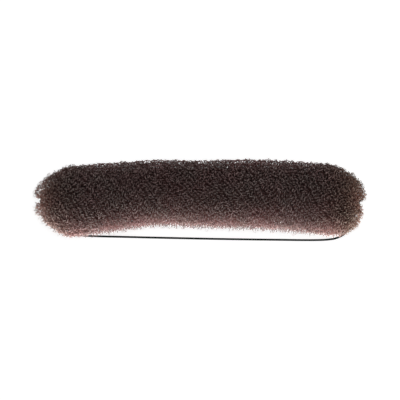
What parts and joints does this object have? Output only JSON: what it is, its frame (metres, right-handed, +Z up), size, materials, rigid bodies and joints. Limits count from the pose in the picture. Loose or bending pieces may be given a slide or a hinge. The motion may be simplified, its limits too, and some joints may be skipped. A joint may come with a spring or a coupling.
{
  "type": "hair bun roll",
  "caption": "Soft sausage-shaped hair bun roll of crimped net with tucked, cleft ends, threaded on a thin loop of elastic that holds it round a ponytail.",
  "frame": {"origin": "the middle of the roll, without its elastic, on the surface that it lies on", "axes": "+X along the roll to its right end, +Y to the back, away from the elastic, and +Z up"},
  "size_m": [0.231, 0.0577, 0.0437],
  "materials": {
    "net": "dark brown crimped nylon net, open and springy, in several layers",
    "elastic": "grey-black braided round elastic",
    "knot": "the same elastic, knotted"
  },
  "bodies": {
    "root": {"net_roll": "net", "elastic_cord": "elastic", "elastic_knot": "knot"}
  },
  "joints": []
}
